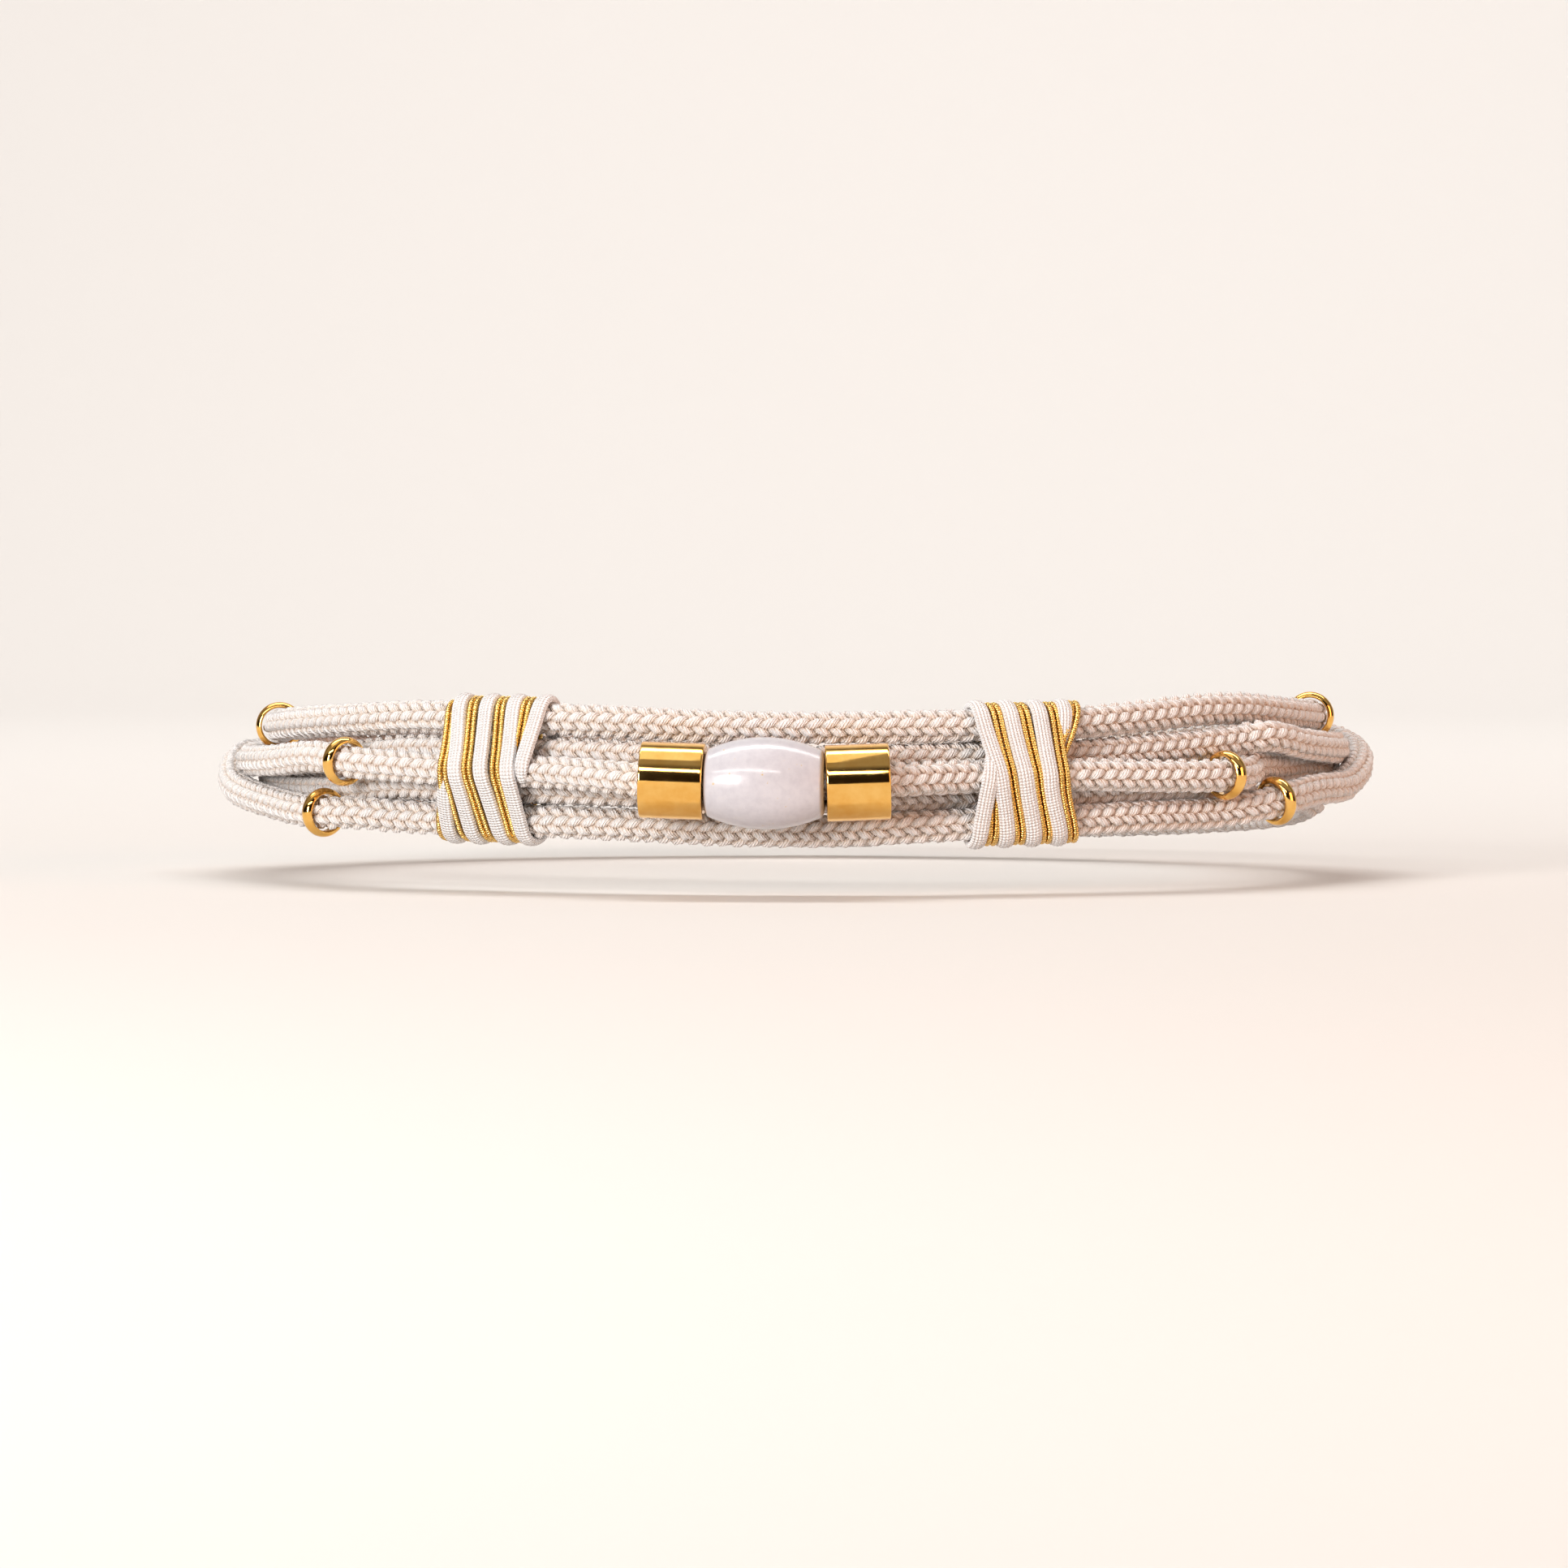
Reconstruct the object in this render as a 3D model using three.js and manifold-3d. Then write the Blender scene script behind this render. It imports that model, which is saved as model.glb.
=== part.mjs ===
// Rope belt in its worn form: five braided ropes round the waist, held side by side by two cord wraps.
// The middle rope carries a painted wooden barrel bead between two gold tubes, and six loose gold rings
// sit on the ropes. At the back a plain white clasp holds the rope ends, a little lower than the sides.
// Millimetres, +Z up, the front of the belt towards -Y, the origin at the centre of the waist opening.

import * as THREE from 'three';
import { mergeVertices } from 'three/addons/utils/BufferGeometryUtils.js';
import Module from 'manifold-3d';

const wasm = await Module();
wasm.setup();

// Waist opening
const waistWidth = 225.2;
const waistDepth = 172;

// Ropes
const ropeDiameter = 6.8;
const ropeSides = 8;
const ropeSteps = 68;

// Least play between two pieces, and the play round the rope in a bore
const clearance = 0.3;
const borePlay = 0.4;

// Bead on the middle rope
const beadLength = 25.5;
const beadDiameter = 19.5;
const beadEndDiameter = 14.7;
const beadRim = 1.2;
const beadCrown = 0.85;

// Tubes on either side of the bead
const tubeLength = 13.5;
const tubeDiameter = 16.2;
const tubeRim = 0.5;
const beadToTube = 0.4;

// Loose rings
const ringDiameter = 10.8;
const ringBore = 8.1;
const ringWidth = 3.1;

// Wraps: a flat white cord with two thin gold strands laid beside it
const cordWidth = 3.5;
const cordThickness = 2.2;
const strandDiameter = 1.1;
const wrapTurns = 4;
const wrapSidesPerTurn = 18;

// Clasp
const claspLength = 26;
const claspWall = 1.5;
const claspWeb = 6;
const socketPlay = 0.9;
const claspEdge = 0.6;

// What follows from those sizes
const ropeRadius = ropeDiameter / 2;
const pitch = ropeDiameter + clearance;
const degrees = THREE.MathUtils.radToDeg;
const radians = THREE.MathUtils.degToRad;

// How far a rope with a bead, a tube or a ring on it stands off its neighbours, in pitches. The neighbours
// of the bead and the tubes lie half a pitch higher and lower, and a tube slants with its rope.
const slantRoom = 1.12;
const roomFor = (diameter) => (diameter / 2 + ropeRadius + clearance) / pitch;
const standOff = (diameter) => Math.sqrt(roomFor(diameter) ** 2 - 0.5 ** 2);
const strungOut = 1.01 * Math.max(standOff(beadDiameter), slantRoom * standOff(tubeDiameter));
const ringRoom = roomFor(ringDiameter);

// Angles on the front, measured round the waist, of a point so far to the side of the bead's middle.
const frontReach = waistWidth / 2 + ((ropeRadius + strungOut * pitch) * waistDepth) / waistWidth;
const angleOf = (distance) => degrees(Math.asin(distance / frontReach));
const tubeMiddle = beadLength / 2 + beadToTube + tubeLength / 2;
const tubeAngle = angleOf(tubeMiddle);
const tubeOuter = angleOf(tubeMiddle + tubeLength / 2);

// The ropes' routes. Each row is a place round the waist: at is the angle from the front, towards +X, and
// each rope's pair is how far it lies off the waist and how high, in rope pitches.
const STATIONS = [
  { at: -180, one: [0, 0.4], two: [0, -1.6], three: [0, -0.6], four: [0, -2.6], five: [0.9, -1.1] },
  { at: -150, one: [0, 0.72], two: [0, -1.36], three: [0, -0.32], four: [0, -2.4], five: [0.95, -0.75] },
  { at: -120, one: [0, 1.13], two: [0, -0.9], three: [0.3, 0.15], four: [0, -1.93], five: [1.32, 0.05] },
  { at: -106, one: [0, 1.14], two: [0, -0.6], three: [0.62, 0.31], four: [0, -1.58], five: [1.66, 0.06] },
  { at: -96, one: [0.05, 1.06], two: [0, -0.42], three: [0.84, 0.24], four: [0, -1.4], five: [1.75, -0.12] },
  { at: -84, one: [0.1, 1.13], two: [0, -0.15], three: [1, 0.1], four: [0, -1.14], five: [1.58, -0.77] },
  { at: -66, one: [0, 1.35], two: [0, 0.12], three: [1.06, 0.17], four: [0.02, -0.93], five: [1.17, -1.15] },
  { at: -54, one: [0, 1.49], two: [0, 0.36], three: [1.24, 0.36], four: [0, -0.68],
    five: [0.9 * ringRoom, -1.35] },
  { at: -49.5, one: [0, 1.54], two: [0, 0.45], three: [1.02 * ringRoom, 0.25], four: [0, -0.58],
    five: [0.8, -1.34] },
  { at: -44, one: [0, 1.62], two: [0, 0.59], three: [1.1, 0.16], four: [0, -0.44], five: [0.3, -1.43] },
  { at: -37, one: [0, 1.63], two: [0, 0.6], three: [0.9, 0.08], four: [0, -0.44], five: [0, -1.46] },
  { at: -23, one: [0, 1.6], two: [0, 0.57], three: [0.9, 0.04], four: [0, -0.48], five: [0, -1.49] },
  { at: -tubeOuter, one: [0, 1.51], two: [0, 0.48], three: [1.04 * strungOut, -0.1], four: [0, -0.55],
    five: [0, -1.58] },
  { at: -tubeAngle, one: [0, 1.46], two: [0, 0.43], three: [1.04 * strungOut, -0.14], four: [0, -0.6],
    five: [0, -1.63] },
  { at: 0, one: [0, 1.4], two: [0, 0.37], three: [strungOut, -0.21], four: [0, -0.7], five: [0, -1.7] },
  { at: tubeAngle, one: [0, 1.4], two: [0, 0.37], three: [1.04 * strungOut, -0.18], four: [0, -0.7],
    five: [0.1, -1.69] },
  { at: tubeOuter, one: [0.05, 1.42], two: [0, 0.4], three: [0.98 * strungOut, -0.12], four: [0, -0.68],
    five: [0.3, -1.63] },
  { at: 21, one: [0.2, 1.46], two: [0, 0.46], three: [0.91, -0.06], four: [0, -0.62], five: [0.45, -1.51] },
  { at: 33, one: [0.17, 1.5], two: [0, 0.5], three: [0.95, -0.03], four: [0, -0.57], five: [0.5, -1.43] },
  { at: 42, one: [0.05, 1.66], two: [0, 0.62], three: [1.1, -0.1], four: [0, -0.5], five: [0.5, -1.36] },
  { at: 51.8, one: [0, 1.84], two: [0.22, 0.78], three: [0.97 * ringRoom, -0.13], four: [0, -0.52],
    five: [0.62, -1.32] },
  { at: 56.5, one: [0, 1.86], two: [0.43, 0.88], three: [0.92, -0.08], four: [0, -0.85], five: [1, -1.16] },
  { at: 60.4, one: [0, 1.84], two: [0.84, 1.01], three: [0.37, 0.06], four: [0, -1.08],
    five: [1.01 * ringRoom, -0.97] },
  { at: 68, one: [0, 1.7], two: [0.92, 0.74], three: [0.05, 0], four: [0, -1.02], five: [1.27, -0.72] },
  { at: 80, one: [0.07, 1.53], two: [0.88, 0.52], three: [0, 0], four: [0, -1.01], five: [1.34, -0.6] },
  { at: 86, one: [0.08, 1.49], two: [0.8, 0.48], three: [0, -0.08], four: [0, -1.1], five: [1.46, -0.36] },
  { at: 92, one: [0.08, 1.44], two: [0.7, 0.45], three: [0, -0.2], four: [0, -1.22], five: [1.6, -0.04] },
  { at: 99, one: [0.04, 1.42], two: [0.57, 0.42], three: [0, -0.4], four: [0, -1.42], five: [1.58, 0.35] },
  { at: 106, one: [0, 1.36], two: [0.35, 0.34], three: [0, -0.62], four: [0, -1.65], five: [1.37, 0.64] },
  { at: 120, one: [0, 1.15], two: [0, 0.12], three: [0, -0.92], four: [0, -1.96], five: [1.07, 0.4] },
  { at: 150, one: [0, 0.72], two: [0, -0.32], three: [0, -1.36], four: [0, -2.4], five: [0.97, -0.72] },
  { at: 180, one: [0, 0.4], two: [0, -0.6], three: [0, -1.6], four: [0, -2.6], five: [0.9, -1.1] },
];
const ROPES = ['one', 'two', 'three', 'four', 'five'];

// The rings: the rope that each is on, its place round the waist, and how many degrees it leans on its rope.
const RINGS = [
  { name: 'ring_left_1', rope: 'one', at: -84, lean: 0 },
  { name: 'ring_left_3', rope: 'three', at: -49.5, lean: -8 },
  { name: 'ring_left_5', rope: 'five', at: -54, lean: -10 },
  { name: 'ring_right_1', rope: 'one', at: 84, lean: 0 },
  { name: 'ring_right_3', rope: 'three', at: 51.8, lean: 0 },
  { name: 'ring_right_5', rope: 'five', at: 60.4, lean: 0 },
];

// The wraps: the middle of each, the side of the white cord on which its gold strands lie, and how many turns
// after the white cord they start.
const WRAPS = [
  { name: 'wrap_left', at: -30.7, goldSide: -1, goldAfter: 0.5 },
  { name: 'wrap_right', at: 27.6, goldSide: 1, goldAfter: 0 },
];

const braid = { color: 0xebe4e1, roughness: 0.85, metalness: 0 };
const gold = { color: 0xe0aa3a, roughness: 0.2, metalness: 1 };
const goldThread = { color: 0xd8a83c, roughness: 0.35, metalness: 1 };
const whitePaint = { color: 0xe3dcdf, roughness: 0.35, metalness: 0 };

// A point at an angle round the waist, so far off the waist and so high.
function waistPoint(at, off, height) {
  const angle = radians(at);
  const outward = outwardAt(at);
  const onWaist = new THREE.Vector3((waistWidth / 2) * Math.sin(angle), (-waistDepth / 2) * Math.cos(angle), height);
  return onWaist.addScaledVector(outward, off);
}

function outwardAt(at) {
  const angle = radians(at);
  return new THREE.Vector3(waistDepth * Math.sin(angle), -waistWidth * Math.cos(angle), 0).normalize();
}

// Each rope's distance off the waist and its height, in millimetres, at an angle.
const placesOf = Object.fromEntries(ROPES.map((rope) => {
  const angles = STATIONS.map((station) => station.at);
  const values = STATIONS.flatMap((station) => station[rope]);
  return [rope, new THREE.CubicInterpolant(angles, values, 2)];
}));

function ropePlace(rope, at) {
  const [off, height] = placesOf[rope].evaluate(at);
  return { off: ropeRadius + off * pitch, height: height * pitch };
}

// A rope's axis, from one end in the clasp round the front to the other. All ropes step at the same angles,
// so that neighbours keep their distance between the steps too.
const ropeEnd = 180 - degrees(Math.asin((claspWeb / 2 + clearance) / (waistWidth / 2)));

class RopeRoute extends THREE.Curve {
  constructor(rope) {
    super();
    this.rope = rope;
  }

  getPoint(share, target = new THREE.Vector3()) {
    const at = THREE.MathUtils.lerp(-ropeEnd, ropeEnd, share);
    const { off, height } = ropePlace(this.rope, at);
    return target.copy(waistPoint(at, off, height));
  }

  getPointAt(share, target) {
    return this.getPoint(share, target);
  }

  getTangentAt(share, target) {
    return this.getTangent(share, target);
  }

  directionAt(at) {
    return this.getTangent((at + ropeEnd) / (2 * ropeEnd));
  }

  // The straight run between two steps that holds a place, for a ring to sit square on.
  runAt(at) {
    const steps = ((at + ropeEnd) / (2 * ropeEnd)) * ropeSteps;
    const from = this.getPoint(Math.floor(steps) / ropeSteps);
    const to = this.getPoint((Math.floor(steps) + 1) / ropeSteps);
    return { direction: to.clone().sub(from).normalize(), place: from.lerp(to, steps % 1) };
  }
}

const routes = Object.fromEntries(ROPES.map((rope) => [rope, new RopeRoute(rope)]));

function ropeGeometry(rope, radius, sides) {
  return new THREE.ExtrudeGeometry(polygon(radius, radius, sides), {
    steps: ropeSteps,
    extrudePath: routes[rope],
  });
}

function polygon(halfWidth, halfHeight, sides) {
  const corners = Array.from({ length: sides }, (_, side) => {
    const angle = (2 * Math.PI * (side + 0.5)) / sides;
    return new THREE.Vector2(halfWidth * Math.cos(angle), halfHeight * Math.sin(angle));
  });
  return new THREE.Shape(corners);
}

// Solids for joining and cutting
function solidOf(geometry) {
  const bare = geometry.clone();
  bare.deleteAttribute('normal');
  bare.deleteAttribute('uv');
  const merged = mergeVertices(bare, 1e-4);
  return new wasm.Manifold(new wasm.Mesh({
    numProp: 3,
    vertProperties: new Float32Array(merged.attributes.position.array),
    triVerts: new Uint32Array(merged.index.array),
  }));
}

function geometryOf(solid) {
  const { vertProperties, triVerts } = solid.getMesh();
  const geometry = new THREE.BufferGeometry();
  geometry.setAttribute('position', new THREE.BufferAttribute(new Float32Array(vertProperties), 3));
  geometry.setIndex(new THREE.BufferAttribute(new Uint32Array(triVerts), 1));
  geometry.computeVertexNormals();
  return geometry;
}

// The line round all five ropes at a place on the belt, so far outside their axes. Each row is a corner with
// its outward direction in the plane across the belt, and the share of the way round that it stands at. They
// go from the front down and round behind.
function roundTheRopes(at, distance, sides) {
  const centres = ROPES.map((rope) => ropePlace(rope, at));
  const reach = distance / Math.cos(Math.PI / sides);
  const corners = Array.from({ length: sides + 1 }, (_, side) => {
    const turn = (-2 * Math.PI * side) / sides;
    const [across, upward] = [Math.cos(turn), Math.sin(turn)];
    const farthest = centres.reduce((best, centre) => {
      const gain = (centre.off - best.off) * across + (centre.height - best.height) * upward;
      return gain > 1e-6 ? centre : best;
    });
    return { across, upward, off: farthest.off + reach * across, height: farthest.height + reach * upward };
  });
  const runs = corners.slice(1).map((corner, i) => {
    return Math.hypot(corner.off - corners[i].off, corner.height - corners[i].height);
  });
  const whole = runs.reduce((sum, run) => sum + run, 0);
  let soFar = 0;
  return corners.map((corner, i) => {
    soFar += i > 0 ? runs[i - 1] : 0;
    return { ...corner, share: soFar / whole };
  });
}

// One cord of a wrap: a helix round the five ropes, its flat section bent along the helix. Its turns are
// counted from the middle of the wrap, and it starts and ends on the front.
const cordFromAxes = ropeRadius + clearance + cordThickness / 2;
const goldWidth = 2 * strandDiameter;
const wrapPitch = cordWidth + goldWidth + 2 * clearance;
const INNER_SIDE_SPREAD = 1.07; // the turns crowd together on the side towards the waist

function millimetresPerDegree(at) {
  return waistPoint(at - 0.5, ropeRadius, 0).distanceTo(waistPoint(at + 0.5, ropeRadius, 0));
}

function windingGeometry(wrap, section, shift, firstTurn) {
  const turnAngle = (wrapPitch * INNER_SIDE_SPREAD) / millimetresPerDegree(wrap.at);
  const steps = (wrapTurns / 2 - firstTurn) * wrapSidesPerTurn;
  const shares = roundTheRopes(wrap.at, cordFromAxes, wrapSidesPerTurn).map((corner) => corner.share);
  const frames = Array.from({ length: steps + 1 }, (_, step) => {
    const turn = Math.floor(firstTurn + step / wrapSidesPerTurn);
    const side = step - (turn - firstTurn) * wrapSidesPerTurn;
    const at = wrap.at + (turn + shares[side] + shift) * turnAngle;
    const corner = roundTheRopes(at, cordFromAxes, wrapSidesPerTurn)[side];
    const normal = outwardAt(at).multiplyScalar(corner.across);
    normal.z = corner.upward;
    return { place: waistPoint(at, corner.off, corner.height), normal };
  });
  const straight = new THREE.ExtrudeGeometry(section, { depth: 1, steps, bevelEnabled: false });
  return bentAlong(straight, frames);
}

// Bends a straight extrusion of unit depth along the frames: its x goes sideways, its y along each normal.
function bentAlong(straight, frames) {
  const last = frames.length - 1;
  const place = straight.attributes.position;
  for (let i = 0; i < place.count; i += 1) {
    const step = Math.round(place.getZ(i) * last);
    const before = frames[Math.max(step - 1, 0)].place;
    const after = frames[Math.min(step + 1, last)].place;
    const forward = after.clone().sub(before).normalize();
    const { place: middle, normal } = frames[step];
    const sideways = normal.clone().cross(forward).normalize();
    const bent = middle.clone().addScaledVector(sideways, place.getX(i)).addScaledVector(normal, place.getY(i));
    place.setXYZ(i, bent.x, bent.y, bent.z);
  }
  straight.computeVertexNormals();
  return straight;
}

// A turned piece put on a rope: its axis, +Y in the lathe, is turned along the rope.
function threaded(geometry, place, direction) {
  const along = new THREE.Quaternion().setFromUnitVectors(new THREE.Vector3(0, 1, 0), direction);
  return geometry.applyQuaternion(along).translate(...place);
}

function strung(geometry, at) {
  const { off, height } = ropePlace('three', at);
  return bored(threaded(geometry, waistPoint(at, off, height), routes.three.directionAt(at)));
}

function beadGeometry() {
  const half = beadLength / 2;
  const endRadius = beadEndDiameter / 2;
  const rim = half - beadCrown;
  const shoulder = rim - beadRim;
  const outline = new THREE.Path()
    .moveTo(0, -half)
    .quadraticCurveTo(endRadius / 2, -half, endRadius - beadRim, -rim)
    .lineTo(endRadius, -shoulder)
    .quadraticCurveTo(beadDiameter - endRadius, 0, endRadius, shoulder)
    .lineTo(endRadius - beadRim, rim)
    .quadraticCurveTo(endRadius / 2, half, 0, half);
  return new THREE.LatheGeometry(distinct(outline.getPoints(4)), 16);
}

function tubeGeometry() {
  const half = tubeLength / 2;
  const radius = tubeDiameter / 2;
  const outline = new THREE.Path()
    .moveTo(0, -half)
    .lineTo(radius - tubeRim, -half)
    .quadraticCurveTo(radius, -half, radius, -half + tubeRim)
    .lineTo(radius, half - tubeRim)
    .quadraticCurveTo(radius, half, radius - tubeRim, half)
    .lineTo(0, half);
  return new THREE.LatheGeometry(distinct(outline.getPoints(2)), 20);
}

function ringGeometry() {
  const outline = new THREE.Path()
    .absellipse(ringBore / 2, 0, (ringDiameter - ringBore) / 2, ringWidth / 2, -Math.PI / 2, Math.PI / 2);
  const points = distinct(outline.getPoints(2));
  return new THREE.LatheGeometry([...points, points[0].clone()], 16);
}

function distinct(points) {
  return points.filter((point, i) => i === 0 || point.distanceTo(points[i - 1]) > 1e-6);
}

// The middle rope runs through the bead and the tubes with a little play.
const boreCutter = solidOf(ropeGeometry('three', ropeRadius + borePlay, 12));

function bored(geometry) {
  return geometryOf(solidOf(geometry).subtract(boreCutter));
}

// The clasp: a plain sleeve round the five rope ends, closed by a web in its middle.
function claspGeometry() {
  const sleeve = claspBlock(ropeRadius + socketPlay + claspWall - claspEdge, claspLength - 2 * claspEdge, {
    bevelEnabled: true,
    bevelSize: claspEdge,
    bevelThickness: claspEdge,
    bevelSegments: 2,
  });
  const socketDepth = (claspLength - claspWeb) / 2;
  const socketMiddle = (claspWeb + socketDepth) / 2;
  const openEnds = [-1, 1].map((end) => {
    const pocket = claspBlock(ropeRadius + socketPlay, socketDepth + 2 * clearance, { bevelEnabled: false });
    return solidOf(pocket.translate(end * (socketMiddle + clearance), 0, 0));
  });
  return geometryOf(openEnds.reduce((body, pocket) => body.subtract(pocket), solidOf(sleeve)));
}

// A block with the outline round the ropes at the back, its length along X and centred on the origin.
function claspBlock(distance, length, edges) {
  const corners = roundTheRopes(180, distance, 24).slice(0, -1);
  const outline = distinct(corners.map((corner) => new THREE.Vector2(corner.off, corner.height)));
  const block = new THREE.ExtrudeGeometry(new THREE.Shape(outline), { depth: length, steps: 1, ...edges });
  block.translate(0, 0, -length / 2);
  const acrossUpAlong = new THREE.Matrix4().makeBasis(
    new THREE.Vector3(0, 1, 0),
    new THREE.Vector3(0, 0, 1),
    new THREE.Vector3(1, 0, 0),
  );
  return block.applyMatrix4(acrossUpAlong).translate(0, waistDepth / 2, 0);
}

const belt = new THREE.Group();

function addPiece(name, geometry, material) {
  const piece = new THREE.Mesh(geometry, new THREE.MeshStandardMaterial(material));
  piece.name = name;
  belt.add(piece);
}

ROPES.forEach((rope, i) => addPiece(`rope_${i + 1}`, ropeGeometry(rope, ropeRadius, ropeSides), braid));

addPiece('bead', strung(beadGeometry(), 0), whitePaint);
addPiece('tube_left', strung(tubeGeometry(), -tubeAngle), gold);
addPiece('tube_right', strung(tubeGeometry(), tubeAngle), gold);

for (const { name, rope, at, lean } of RINGS) {
  const { place, direction } = routes[rope].runAt(at);
  direction.applyAxisAngle(new THREE.Vector3(0, 0, 1), radians(lean));
  addPiece(name, threaded(ringGeometry(), place, direction), gold);
}

for (const wrap of WRAPS) {
  const cord = polygon(cordWidth / 2, cordThickness / 2, 6);
  const strands = polygon(goldWidth / 2, strandDiameter / 2, 6);
  const firstTurn = -wrapTurns / 2;
  const goldGeometry = windingGeometry(wrap, strands, wrap.goldSide / 2, firstTurn + wrap.goldAfter);
  addPiece(`${wrap.name}_cord`, windingGeometry(wrap, cord, 0, firstTurn), braid);
  addPiece(`${wrap.name}_gold`, goldGeometry, goldThread);
}

addPiece('clasp', claspGeometry(), whitePaint);

export default belt;
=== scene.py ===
# Rope belt: five braided ropes, two cord wraps, a barrel bead between gold tubes, loose rings and a clasp.
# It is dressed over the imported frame. Lengths below are in millimetres until a piece is placed.
import math
import bmesh
import bpy
import numpy as np
from mathutils import Matrix, Vector


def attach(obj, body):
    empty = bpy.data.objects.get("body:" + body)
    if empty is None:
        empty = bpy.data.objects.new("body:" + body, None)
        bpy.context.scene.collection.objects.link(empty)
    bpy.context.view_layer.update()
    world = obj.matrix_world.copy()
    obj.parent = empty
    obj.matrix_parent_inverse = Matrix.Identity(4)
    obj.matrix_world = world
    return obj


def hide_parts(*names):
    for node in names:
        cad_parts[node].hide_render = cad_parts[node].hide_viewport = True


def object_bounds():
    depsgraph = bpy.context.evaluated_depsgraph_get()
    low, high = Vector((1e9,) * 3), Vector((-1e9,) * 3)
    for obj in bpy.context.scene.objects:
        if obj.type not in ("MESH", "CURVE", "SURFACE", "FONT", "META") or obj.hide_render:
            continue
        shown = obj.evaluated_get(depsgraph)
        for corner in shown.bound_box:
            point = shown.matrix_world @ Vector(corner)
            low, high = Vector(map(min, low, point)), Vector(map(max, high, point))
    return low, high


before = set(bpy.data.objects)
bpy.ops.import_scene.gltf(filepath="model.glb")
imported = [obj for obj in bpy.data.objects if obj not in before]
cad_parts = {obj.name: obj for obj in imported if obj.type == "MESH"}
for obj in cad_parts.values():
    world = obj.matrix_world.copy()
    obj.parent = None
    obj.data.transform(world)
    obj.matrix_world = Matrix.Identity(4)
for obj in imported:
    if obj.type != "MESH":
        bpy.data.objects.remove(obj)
cadBox = [list(corner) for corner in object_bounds()]
mm = 0.001

# ---- camera ----
view = {
    "turn": 3.7,          # degrees round to the right
    "rise": 2.0,          # degrees above the belt
    "distance": 1.5,      # metres
    "lens": 152.24,
    "target": (-0.002553, -0.000347, -0.005197),
}


def addCamera():
    turn, rise = math.radians(view["turn"]), math.radians(view["rise"])
    back = Vector((math.sin(turn) * math.cos(rise), -math.cos(turn) * math.cos(rise), math.sin(rise)))
    data = bpy.data.cameras.new("beltCamera")
    data.lens = view["lens"]
    data.clip_end = 20
    camera = bpy.data.objects.new("beltCamera", data)
    camera.location = Vector(view["target"]) + back * view["distance"]
    camera.rotation_euler = back.to_track_quat("Z", "Y").to_euler()
    bpy.context.scene.collection.objects.link(camera)
    bpy.context.scene.camera = camera


addCamera()
print("camera placed")

# ---- the waist and the ropes' routes ----
# They are the part's, but for a few stations at the sides where ropes lie up to 4 mm closer together.
waist = {"width": 225.2, "depth": 172.0}
rope = {"radius": 3.4, "pitch": 7.1}
runSpacing = 0.4      # between the points of a route
strungOut = 1.843     # pitches that the middle rope stands off under the bead
ringRoom = 1.282      # and what a rope with a ring on it needs
tubeAngle, tubeOuter = 9.1, 12.3

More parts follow.
